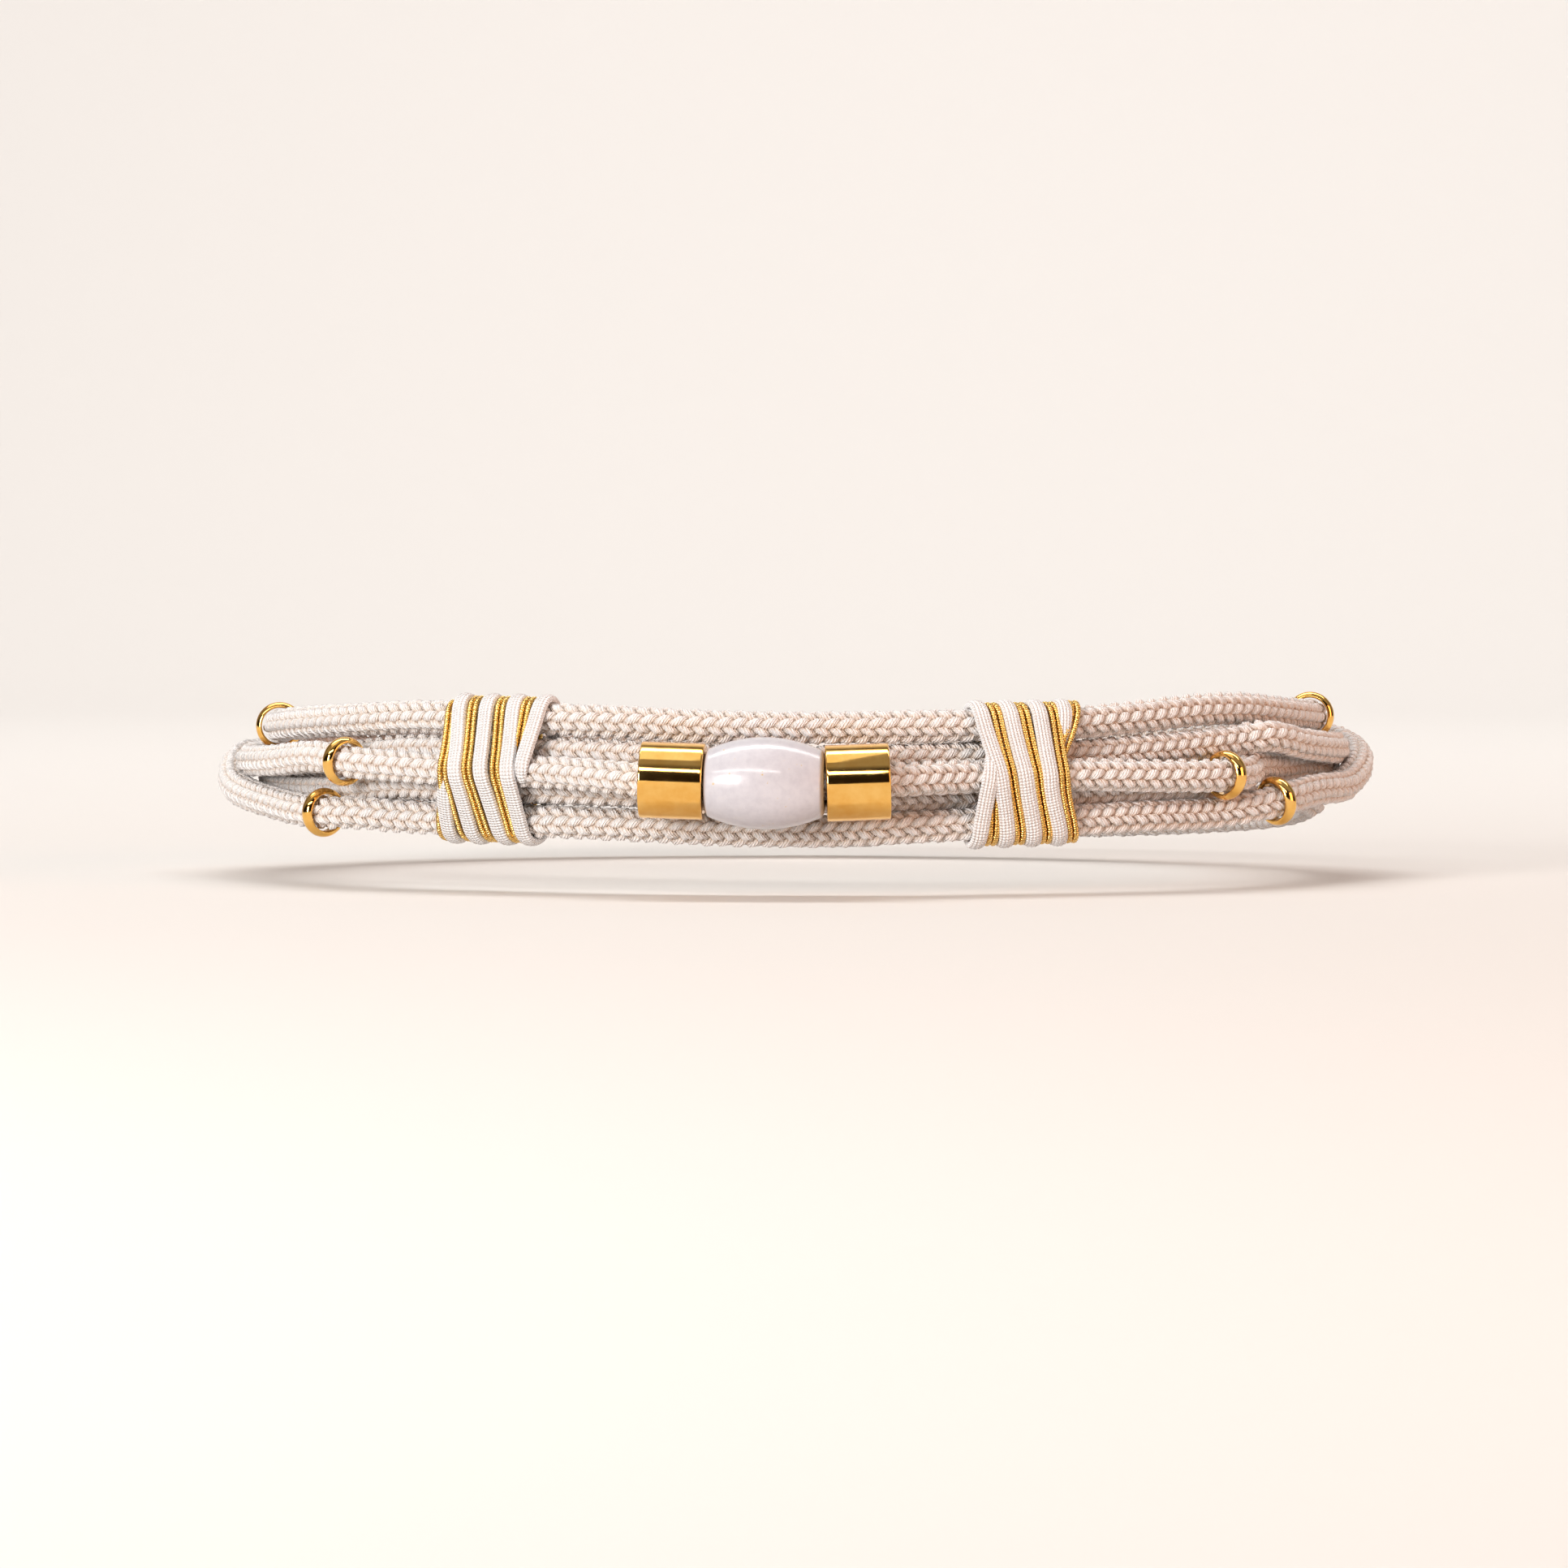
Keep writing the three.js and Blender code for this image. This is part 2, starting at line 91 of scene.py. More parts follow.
# degrees round from the front, then each rope's pitches off the waist and up
stations = [
    (-180, (0, 0.4), (0, -1.6), (0, -0.6), (0, -2.6), (0.9, -1.1)),
    (-150, (0, 0.72), (0, -1.36), (0, -0.32), (0, -2.4), (0.95, -0.75)),
    (-120, (0, 1.13), (0, -0.9), (0.3, 0.15), (0, -1.93), (1.32, 0.05)),
    (-106, (0, 1.14), (0, -0.6), (0.62, 0.31), (0, -1.58), (1.66, 0.06)),
    (-96, (0.05, 1.06), (0.15, -0.3), (0.84, 0.12), (0.45, -1.08), (1.72, 0.04)),
    (-84, (0.1, 1.13), (0.1, -0.04), (1, 0.05), (0.38, -0.82), (1.56, -0.64)),
    (-66, (0, 1.35), (0, 0.14), (1.06, 0.17), (0.02, -0.8), (1.17, -1.15)),
    (-54, (0, 1.49), (0, 0.36), (1.24, 0.36), (0, -0.68), (0.9 * ringRoom, -1.35)),
    (-49.5, (0, 1.54), (0, 0.45), (1.02 * ringRoom, 0.25), (0, -0.58), (0.8, -1.34)),
    (-44, (0, 1.62), (0, 0.59), (1.1, 0.16), (0, -0.44), (0.3, -1.43)),
    (-37, (0, 1.63), (0, 0.6), (0.9, 0.08), (0, -0.44), (0, -1.46)),
    (-23, (0, 1.6), (0, 0.57), (0.9, 0.04), (0, -0.48), (0, -1.49)),
    (-tubeOuter, (0, 1.51), (0, 0.48), (1.04 * strungOut, -0.1), (0, -0.55), (0, -1.58)),
    (-tubeAngle, (0, 1.46), (0, 0.43), (1.04 * strungOut, -0.14), (0, -0.6), (0, -1.63)),
    (0, (0, 1.4), (0, 0.37), (strungOut, -0.21), (0, -0.7), (0, -1.7)),
    (tubeAngle, (0, 1.4), (0, 0.37), (1.04 * strungOut, -0.18), (0, -0.7), (0.1, -1.69)),
    (tubeOuter, (0.05, 1.42), (0, 0.4), (0.98 * strungOut, -0.12), (0, -0.68), (0.3, -1.63)),
    (21, (0.2, 1.46), (0, 0.46), (0.91, -0.06), (0, -0.62), (0.45, -1.51)),
    (33, (0.17, 1.5), (0, 0.5), (0.95, -0.03), (0, -0.57), (0.5, -1.43)),
    (42, (0.05, 1.66), (0, 0.62), (1.1, -0.1), (0, -0.5), (0.5, -1.36)),
    (51.8, (0, 1.84), (0.22, 0.78), (0.97 * ringRoom, -0.13), (0, -0.52), (0.62, -1.32)),
    (56.5, (0, 1.86), (0.43, 0.88), (0.92, -0.08), (0, -0.85), (1, -1.16)),
    (60.4, (0, 1.84), (0.84, 1.01), (0.37, 0.06), (0, -1.08), (1.01 * ringRoom, -0.97)),
    (68, (0, 1.7), (0.92, 0.74), (0.05, 0), (0, -1.02), (1.27, -0.72)),
    (80, (0.07, 1.53), (0.88, 0.52), (0, 0), (0, -1.01), (1.34, -0.6)),
    (86, (0.08, 1.49), (0.8, 0.48), (0.38, -0.22), (0, -1.2), (1.46, -0.25)),
    (92, (0.08, 1.44), (0.7, 0.45), (0.46, -0.27), (0, -1.25), (1.53, 0.07)),
    (99, (0.04, 1.42), (0.57, 0.42), (0.12, -0.46), (0, -1.44), (1.58, 0.35)),
    (106, (0, 1.36), (0.35, 0.34), (0, -0.62), (0, -1.65), (1.37, 0.64)),
    (120, (0, 1.15), (0, 0.12), (0, -0.92), (0, -1.96), (1.07, 0.4)),
    (150, (0, 0.72), (0, -0.32), (0, -1.36), (0, -2.4), (0.97, -0.72)),
    (180, (0, 0.4), (0, -0.6), (0, -1.6), (0, -2.6), (0.9, -1.1)),
]
stationAngles = np.array([row[0] for row in stations], float)
ropeEnd = 180 - math.degrees(math.asin(3.3 / (waist["width"] / 2)))


def betweenStations(values, angles):
    # the same cubic through the stations as the part draws
    last = len(stationAngles) - 1
    after = np.clip(np.searchsorted(stationAngles, angles, side="right"), 1, last)
    before = after - 1
    earlier = np.where(after >= 2, after - 2, after)
    later = np.where(after < last, after + 1, before)
    t0, t1 = stationAngles[before], stationAngles[after]
    half = (t1 - t0) / 2
    wPrev = half / (t0 - stationAngles[earlier])
    wNext = half / (stationAngles[later] - t1)
    p = (angles - t0) / (t1 - t0)
    sPrev = -wPrev * p**3 + 2 * wPrev * p**2 - wPrev * p
    s0 = (1 + wPrev) * p**3 + (-1.5 - 2 * wPrev) * p**2 + (-0.5 + wPrev) * p + 1
    s1 = (-1 - wNext) * p**3 + (1.5 + wNext) * p**2 + 0.5 * p
    sNext = wNext * p**3 - wNext * p**2
    return sPrev * values[earlier] + s0 * values[before] + s1 * values[after] + sNext * values[later]


def waistPlace(angles, off, height):
    turn = np.radians(angles)
    outward = np.stack([waist["depth"] * np.sin(turn), -waist["width"] * np.cos(turn)], -1)
    outward /= np.linalg.norm(outward, axis=-1, keepdims=True)
    x = waist["width"] / 2 * np.sin(turn) + off * outward[..., 0]
    y = -waist["depth"] / 2 * np.cos(turn) + off * outward[..., 1]
    return np.stack([x, y, height + 0 * x], -1), np.concatenate([outward, 0 * outward[..., :1]], -1)


def ropeOffAndUp(number, angles):
    pairs = np.array([row[number] for row in stations], float)
    off = rope["radius"] + rope["pitch"] * betweenStations(pairs[:, 0], angles)
    return off, rope["pitch"] * betweenStations(pairs[:, 1], angles)


def unit(vectors):
    return vectors / np.linalg.norm(vectors, axis=-1, keepdims=True)


def evenRun(places, outward):
    # the route with its points evenly spaced, and at each the directions outward and upward
    lengths = np.concatenate([[0], np.cumsum(np.linalg.norm(np.diff(places, axis=0), axis=1))])
    marks = np.linspace(0, lengths[-1], max(2, round(lengths[-1] / runSpacing)) + 1)
    spots = np.stack([np.interp(marks, lengths, places[:, k]) for k in range(3)], -1)
    out = np.stack([np.interp(marks, lengths, outward[:, k]) for k in range(3)], -1)
    along = unit(np.gradient(spots, axis=0))
    out = unit(out - along * np.sum(out * along, -1, keepdims=True))
    return {"length": lengths[-1], "places": spots, "out": out, "up": np.cross(out, along)}


def ropeRun(number):
    angles = np.linspace(-ropeEnd, ropeEnd, 4000)
    places, outward = waistPlace(angles, *ropeOffAndUp(number, angles))
    return evenRun(places, outward)


def coordinates(mesh):
    flat = np.empty(len(mesh.vertices) * 3)
    mesh.vertices.foreach_get("co", flat)
    return flat.reshape(-1, 3)


def bendAlong(mesh, run):
    # moves a straight piece, modelled in millimetres along X, onto a run, and keeps its straight form
    # in the attribute "laid" for its pattern
    flat = coordinates(mesh)
    laid = mesh.attributes.new("laid", "FLOAT_VECTOR", "POINT")
    laid.data.foreach_set("vector", flat.astype(np.float32).ravel())
    share = np.clip(flat[:, 0] / run["length"], 0, 1) * (len(run["places"]) - 1)
    spots = np.arange(len(run["places"]))
    places, out, up = (np.stack([np.interp(share, spots, run[name][:, k]) for k in range(3)], -1)
                       for name in ("places", "out", "up"))
    bent = places + flat[:, 1:2] * out + flat[:, 2:3] * up
    mesh.vertices.foreach_set("co", (bent * mm).ravel())
    mesh.update()


def newPiece(name, mesh, material, node):
    mesh.shade_smooth()
    mesh.materials.clear()
    mesh.materials.append(material)
    piece = bpy.data.objects.new(name, mesh)
    bpy.context.scene.collection.objects.link(piece)
    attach(piece, "root")
    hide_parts(node)
    return piece


def meshFrom(bm, name):
    bmesh.ops.recalc_face_normals(bm, faces=bm.faces)
    mesh = bpy.data.meshes.new(name)
    bm.to_mesh(mesh)
    bm.free()
    return mesh


def only(kind, items):
    return [item for item in items if isinstance(item, kind)]


def repeated(mesh, step, count):
    # one repeat of a straight piece, laid end to end along X
    piece = bpy.data.objects.new("repeat", mesh)
    bpy.context.scene.collection.objects.link(piece)
    row = piece.modifiers.new("row", "ARRAY")
    row.use_relative_offset = False
    row.use_constant_offset = True
    row.constant_offset_displace = (step, 0, 0)
    row.count = count
    row.use_merge_vertices = True
    row.merge_threshold = 0.02
    bpy.context.view_layer.update()
    whole = bpy.data.meshes.new_from_object(piece.evaluated_get(bpy.context.evaluated_depsgraph_get()))
    bpy.data.objects.remove(piece)
    return whole


# ---- materials ----
def nodeTree(name):
    material = bpy.data.materials.new(name)
    material.use_nodes = True
    nodes, links = material.node_tree.nodes, material.node_tree.links
    return material, nodes, links, nodes["Principled BSDF"]


def addNode(nodes, kind, **settings):
    node = nodes.new(kind)
    for key, value in settings.items():
        if key in node.inputs:
            node.inputs[key].default_value = value
        else:
            setattr(node, key, value)
    return node


def texture(nodes, links, kind, place, **settings):
    node = addNode(nodes, kind, **settings)
    links.new(place, node.inputs["Vector"])
    return node.outputs["Fac"]


def objectPlace(nodes):
    return addNode(nodes, "ShaderNodeTexCoord").outputs["Object"]


def ownPlace(nodes, name):
    return addNode(nodes, "ShaderNodeAttribute", attribute_name=name).outputs["Vector"]


def ramp(nodes, links, factor, stops):
    node = addNode(nodes, "ShaderNodeValToRGB")
    for element, (position, colour) in zip(node.color_ramp.elements, (stops[0], stops[-1])):
        element.position = position
        element.color = (*colour, 1)
    for position, colour in stops[1:-1]:
        node.color_ramp.elements.new(position).color = (*colour, 1)
    links.new(factor, node.inputs["Fac"])
    return node.outputs["Color"]


def mathNode(nodes, links, operation, a, b):
    node = addNode(nodes, "ShaderNodeMath", operation=operation)
    for socket, value in zip(node.inputs, (a, b)):
        if isinstance(value, (int, float)):
            socket.default_value = value
        else:
            links.new(value, socket)
    return node.outputs["Value"]


def bumped(nodes, links, shader, height, distance, strength=1.0):
    bump = addNode(nodes, "ShaderNodeBump", Strength=strength, Distance=distance)
    links.new(height, bump.inputs["Height"])
    links.new(bump.outputs["Normal"], shader.inputs["Normal"])


# the cotton's own colour at the top of the strands, and painted shade, darker and browner, where they sink
# between others
braidCotton = {
    "high": (0.91, 0.87, 0.855),
    "middle": (0.84, 0.72, 0.63),
    "paintedDeepShade": (0.44, 0.28, 0.18),
    "yarnBump": 0.00022,
}


def braidCottonMaterial():
    material, nodes, links, shader = nodeTree("braidCotton")
    depth = addNode(nodes, "ShaderNodeAttribute", attribute_name="depth").outputs["Fac"]
    strand = ownPlace(nodes, "strand")
    # yarns lie side by side along each strand, each one twisted
    yarns = texture(nodes, links, "ShaderNodeTexWave", strand, wave_type="BANDS", bands_direction="Y",
                    Scale=0.62, Distortion=1.2, Detail=1.0, **{"Detail Scale": 1.5})
    twist = texture(nodes, links, "ShaderNodeTexWave", strand, wave_type="BANDS", bands_direction="DIAGONAL",
                    Scale=0.85, Distortion=2.0, Detail=2.0)
    fuzz = texture(nodes, links, "ShaderNodeTexNoise", strand, Scale=3.2, Detail=4.0, Roughness=0.7)
    height = mathNode(nodes, links, "ADD", mathNode(nodes, links, "MULTIPLY", yarns, 0.85),
                      mathNode(nodes, links, "MULTIPLY", twist, 0.25))
    height = mathNode(nodes, links, "ADD", height, mathNode(nodes, links, "MULTIPLY", fuzz, 0.8))
    bumped(nodes, links, shader, height, braidCotton["yarnBump"])
    # painted shade: darker where a strand lies deep among the others, and in the grooves between its yarns;
    # the fuzz adds random tone
    paintedYarnShade = mathNode(nodes, links, "MULTIPLY", mathNode(nodes, links, "SUBTRACT", height, 0.95), 0.12)
    colour = ramp(nodes, links, mathNode(nodes, links, "ADD", depth, paintedYarnShade),
                  [(0.56, braidCotton["paintedDeepShade"]), (0.76, braidCotton["middle"]), (0.92, braidCotton["high"])])
    links.new(colour, shader.inputs["Base Color"])
    shader.inputs["Roughness"].default_value = 0.78
    shader.inputs["Sheen Weight"].default_value = 0.25
    shader.inputs["Sheen Roughness"].default_value = 0.4
    shader.inputs["Specular IOR Level"].default_value = 0.35
    return material


def polishedGoldMaterial():
    material, nodes, links, shader = nodeTree("polishedGold")
    smear = texture(nodes, links, "ShaderNodeTexNoise", objectPlace(nodes),
                    Scale=260.0, Detail=4.0, Roughness=0.6)
    colour = ramp(nodes, links, smear, [(0.35, (0.9, 0.5, 0.12)), (0.65, (0.97, 0.6, 0.18))])
    links.new(colour, shader.inputs["Base Color"])
    rough = addNode(nodes, "ShaderNodeMapRange", **{"To Min": 0.05, "To Max": 0.14})
    links.new(smear, rough.inputs["Value"])
    links.new(rough.outputs["Result"], shader.inputs["Roughness"])
    bumped(nodes, links, shader, smear, 0.00002, 0.3)
    shader.inputs["Metallic"].default_value = 1.0
    return material


def beadPaintMaterial():
    material, nodes, links, shader = nodeTree("beadPaint")
    place = objectPlace(nodes)
    grain = texture(nodes, links, "ShaderNodeTexNoise", place, Scale=900.0, Detail=5.0, Roughness=0.65)
    flecks = texture(nodes, links, "ShaderNodeTexNoise", place, Scale=620.0, Detail=3.0, Roughness=0.6)
    colour = ramp(nodes, links, flecks, [(0.3, (0.5, 0.48, 0.52)), (0.6, (0.555, 0.535, 0.57)),
                                         (0.7, (0.56, 0.54, 0.57)), (0.73, (0.55, 0.4, 0.2))])
    links.new(colour, shader.inputs["Base Color"])
    shader.inputs["Roughness"].default_value = 0.3
    shader.inputs["Coat Weight"].default_value = 0.5
    shader.inputs["Coat Roughness"].default_value = 0.1
    bumped(nodes, links, shader, grain, 0.00006, 0.5)
    return material


def claspPaintMaterial():
    material, nodes, links, shader = nodeTree("claspPaint")
    peel = texture(nodes, links, "ShaderNodeTexNoise", objectPlace(nodes),
                   Scale=700.0, Detail=3.0, Roughness=0.5)
    colour = ramp(nodes, links, peel, [(0.3, (0.78, 0.74, 0.71)), (0.7, (0.85, 0.82, 0.8))])
    links.new(colour, shader.inputs["Base Color"])
    shader.inputs["Roughness"].default_value = 0.4
    bumped(nodes, links, shader, peel, 0.00004, 0.4)
    return material


def wrapCottonMaterial():
    material, nodes, links, shader = nodeTree("wrapCotton")
    laid = ownPlace(nodes, "laid")
    stitch = texture(nodes, links, "ShaderNodeTexWave", laid, wave_type="BANDS", bands_direction="X",
                     Scale=0.5, Distortion=1.0, Detail=1.0)
    rib = texture(nodes, links, "ShaderNodeTexWave", laid, wave_type="BANDS", bands_direction="Z",
                  Scale=0.44, Distortion=0.3, Detail=1.0)
    height = mathNode(nodes, links, "ADD", stitch, rib)
    bumped(nodes, links, shader, height, 0.00026)
    # painted shade: the cord is drawn darker and browner in the grooves between its stitches and ribs
    colour = ramp(nodes, links, mathNode(nodes, links, "MULTIPLY", height, 0.5),
                  [(0.02, (0.62, 0.53, 0.47)), (0.36, (0.97, 0.95, 0.95))])
    links.new(colour, shader.inputs["Base Color"])
    shader.inputs["Roughness"].default_value = 0.5
    shader.inputs["Sheen Weight"].default_value = 0.2
    return material


def goldThreadMaterial():
    material, nodes, links, shader = nodeTree("goldThread")
    ribs = texture(nodes, links, "ShaderNodeTexWave", ownPlace(nodes, "laid"), wave_type="BANDS",
                   bands_direction="X", Scale=0.6, Distortion=0.6, Detail=1.0)
    # painted shade: the gold is drawn darker and browner in the grooves between the ribs
    colour = ramp(nodes, links, ribs, [(0.05, (0.6, 0.3, 0.06)), (0.5, (1.0, 0.7, 0.24))])
    links.new(colour, shader.inputs["Base Color"])
    bumped(nodes, links, shader, ribs, 0.00016)
    shader.inputs["Metallic"].default_value = 1.0
    shader.inputs["Roughness"].default_value = 0.22
    return material


cottonMaterial = braidCottonMaterial()
goldMaterial = polishedGoldMaterial()
paintMaterial = beadPaintMaterial()
wrapMaterial = wrapCottonMaterial()
threadMaterial = goldThreadMaterial()
print("materials made")

# ---- the five braided ropes ----
braid = {
    "strandsEachWay": 4,
    "turnLength": 12.8,     # of rope that one strand takes to go round
    "radius": 3.75,         # over the lumps, which press into the neighbouring rope's
    "strandWidth": 2.25,
    "strandThickness": 2.6,
    "strandSides": 6,
    "stepsPerTurn": 32,
    "weave": 1.02,          # how far a strand rises and sinks as it passes over and under
    "plumpness": 0.45,      # how long it stays up before it dips
    "unevenness": 0.09,
    "rowTurn": (8, 30, 14, 40, 22),     # degrees that each rope's rows of strands are turned
    "rowSwing": (0.25, 47),             # and how far they swing to and fro, in radians, along what length
    "yarnsAlong": 1.4,                  # the yarns' pattern: its stretch along the rope,
    "strandApart": 7,                   # and how far apart it is sampled for two strands
    "ropeApart": 60,                    # and for two ropes
}


def oneTurnOfBraid():
    bm = bmesh.new()
    own = bm.verts.layers.float_vector.new("strand")     # nothing yet, round the strand, the strand's number
    width, thickness = braid["strandWidth"], braid["strandThickness"]
    centre = braid["radius"] - thickness / 2 - braid["weave"]
    slant = math.atan(2 * math.pi * (centre + braid["weave"]) / braid["turnLength"])
    step = braid["turnLength"] / braid["stepsPerTurn"]
    for way in (1, -1):
        for number in range(braid["strandsEachWay"]):
            start = 2 * math.pi * number / braid["strandsEachWay"]
            stand = Matrix.Rotation(start, 4, "X") @ Matrix.Translation((0, 0, centre))
            face = Matrix.Rotation(-way * slant, 4, "Z") @ Matrix.Rotation(math.pi / 2, 4, "Y")
            flatten = Matrix.Diagonal((thickness / 2, width / 2, 1, 1))
            before = len(bm.verts)
            section = bmesh.ops.create_circle(bm, segments=braid["strandSides"], radius=1,
                                              matrix=stand @ face @ flatten)["verts"]
            for vert in section:
                offset = stand.inverted() @ vert.co
                around = math.atan2(math.copysign(math.hypot(offset.x, offset.y), offset.y), offset.z)
                vert[own] = (0, around * (width + thickness) / 4,
                             number + (braid["strandsEachWay"] + 1) * (way > 0))
            edges = list({edge for vert in section for edge in vert.link_edges})
            bmesh.ops.spin(bm, geom=section + edges, cent=(0, 0, 0), axis=(1, 0, 0), angle=way * 2 * math.pi,
                           dvec=(step, 0, 0), steps=braid["stepsPerTurn"], use_merge=False)
            bm.verts.ensure_lookup_table()
            for vert in bm.verts[before:]:
                # it stays up a while and dips sharply, so that its lump reaches in between the next row's
                wave = way * math.cos(braid["strandsEachWay"] * math.atan2(vert.co.y, vert.co.z))
                rise = braid["weave"] * (wave + braid["plumpness"] * (1 - wave * wave))
                outward = Vector((0, vert.co.y, vert.co.z)).normalized()
                vert.co += outward * rise
    return meshFrom(bm, "oneTurnOfBraid")


def addDepth(mesh, full):
    # how far out each point of a straight cord stands, for the shade painted between its strands
    flat = coordinates(mesh)
    depth = np.hypot(flat[:, 1], flat[:, 2]) / full
    mesh.attributes.new("depth", "FLOAT", "POINT").data.foreach_set("value", depth.astype(np.float32))
    return flat


def ropeMesh(number):
    run = ropeRun(number)
    turns = round(run["length"] / braid["turnLength"])
    mesh = repeated(oneTurnOfBraid(), braid["turnLength"], turns)
    flat = addDepth(mesh, braid["radius"])
    flat[:, 0] *= run["length"] / (turns * braid["turnLength"])
    along, y, z = flat.T.copy()
    around = np.arctan2(z, y)
    swing, swingLength = braid["rowSwing"]
    turn = math.radians(braid["rowTurn"][number - 1]) + swing * np.sin(along / swingLength + number)
    # no two strands of a real braid lie quite alike
    wobble = np.sin(along * 1.9 + 3 * number + 2 * around) + np.sin(along * 0.83 - 5 * around)
    swell = 1 + braid["unevenness"] / 3 * wobble
    flat[:, 1] = (y * np.cos(turn) - z * np.sin(turn)) * swell
    flat[:, 2] = (y * np.sin(turn) + z * np.cos(turn)) * swell
    mesh.vertices.foreach_set("co", flat.ravel())
    own = np.empty(len(mesh.vertices) * 3, np.float32)
    strand = mesh.attributes["strand"].data
    strand.foreach_get("vector", own)
    own = own.reshape(-1, 3)
    own[:, 0] = along * braid["yarnsAlong"]
    own[:, 2] = own[:, 2] * braid["strandApart"] + braid["ropeApart"] * number
    strand.foreach_set("vector", own.ravel())
    bendAlong(mesh, run)
    return mesh


for number in range(1, 6):
    newPiece(f"braidedRope{number}", ropeMesh(number), cottonMaterial, f"rope_{number}")
print("ropes braided")

# ---- the two wraps ----
wrapCord = {"width": 3.6, "thickness": 2.1, "flatness": 0.9, "ribs": 5, "ribDepth": 0.24, "sides": 30,
            "step": 0.7, "stepsPerRepeat": 20}
goldStrand = {"diameter": 1.35, "offRopes": 0.2, "plies": 3, "plyDepth": 0.12, "twistLength": 2.6, "sides": 9,
              "steps": 9}

# Each cord passes the front, the under side, the back and the top in turn. Of each: the quarter that it
# starts in (0 front, 1 below, 2 back, 3 top), the shares of its first and last quarter that it leaves out,
# and the angles of its passes in degrees round the waist. A negative share runs on past the end. The parting
# is how many times further the two gold strands lie apart at a pass.
wraps = {
    "left": {
        "cord": {"first": 0, "leftOut": (0.1, -0.12), "passes":
                 [-34.6, -36.6, -36.4, -35.25, -33.15, -33.4, -32.7, -31.55, -30.15, -29.6, -29.1,
                  -28.15, -27.0, -26.8, -25.9, -24.7, -25.5]},
        "gold": {"first": 3, "leftOut": (0.0, 0.1), "passes":
                 [-36.5, -34.6, -36.6, -35.2, -33.5, -31.8, -31.5, -30.9, -29.9, -28.45, -28.2, -28.0,
                  -26.6, -26.1]},
        "parting": {2: 4.4},
    },
    "right": {
        "cord": {"first": 3, "leftOut": (0.65, 0.45), "passes":
                 [24.6, 22.5, 21.75, 21.9, 22.0, 23.6, 25.05, 25.2, 25.3, 26.25, 28.15, 28.4, 28.7, 28.8,
                  31.25, 31.6, 32.0, 29.4]},
        "gold": {"first": 0, "leftOut": (0.05, 0.24), "passes":
                 [22.9, 23.4, 23.6, 23.75, 24.75, 26.6, 26.8, 26.9, 27.55, 29.7, 30.1, 30.5, 30.3, 32.8,
                  33.1, 33.6, 28.6]},
        "parting": {},
    },
}
# how far from its end a cord dives under its neighbour, how deep, and how narrow its end is drawn
tuck = {"length": 6.0, "depth": 1.2, "narrow": 0.35}
# a winding's points are this far apart, and its angles and places are evened out over this many of them
winding = {"spacing": 0.25, "angleSpread": 81, "placeSpread": 19}


def outlineRound(angle, distance):
    # the line round the five ropes at an angle, from the front down, as pairs of off and up
    centres = np.array([[float(value) for value in ropeOffAndUp(number, np.array([angle]))]
                        for number in range(1, 6)])
    turns = -np.linspace(0, 2 * math.pi, 121)
    directions = np.stack([np.cos(turns), np.sin(turns)], -1)
    farthest = np.argmax(directions @ centres.T, axis=1)
    return centres[farthest] + distance * directions


def smoothly(marks, values, spots):
    # a curve through the values that never swings past them
    slopes = np.diff(values) / np.diff(marks)
    bend = np.zeros(len(values))
    rising = slopes[:-1] * slopes[1:] > 0
    bend[1:-1][rising] = 2 * slopes[:-1][rising] * slopes[1:][rising] / (slopes[:-1] + slopes[1:])[rising]
    bend[0], bend[-1] = slopes[0], slopes[-1]
    before = np.clip(np.searchsorted(marks, spots, side="right") - 1, 0, len(marks) - 2)
    width = marks[before + 1] - marks[before]
    t = (spots - marks[before]) / width
    return ((1 + 2 * t) * (1 - t) ** 2 * values[before] + t * (1 - t) ** 2 * width * bend[before]
            + t * t * (3 - 2 * t) * values[before + 1] + t * t * (t - 1) * width * bend[before + 1])


def quarterMarks(outline):
    # how far round the outline the front, the under side, the back and the top lie
    lengths = np.concatenate([[0], np.cumsum(np.linalg.norm(np.diff(outline, axis=0), axis=1))])
    corners = [0, np.argmin(outline[:, 1]), np.argmin(outline[:, 0]), np.argmax(outline[:, 1]), -1]
    return lengths, lengths[corners]


def evened(values, spread):
    weights = np.hanning(spread) / np.hanning(spread).sum()
    return np.convolve(values, weights, "valid")


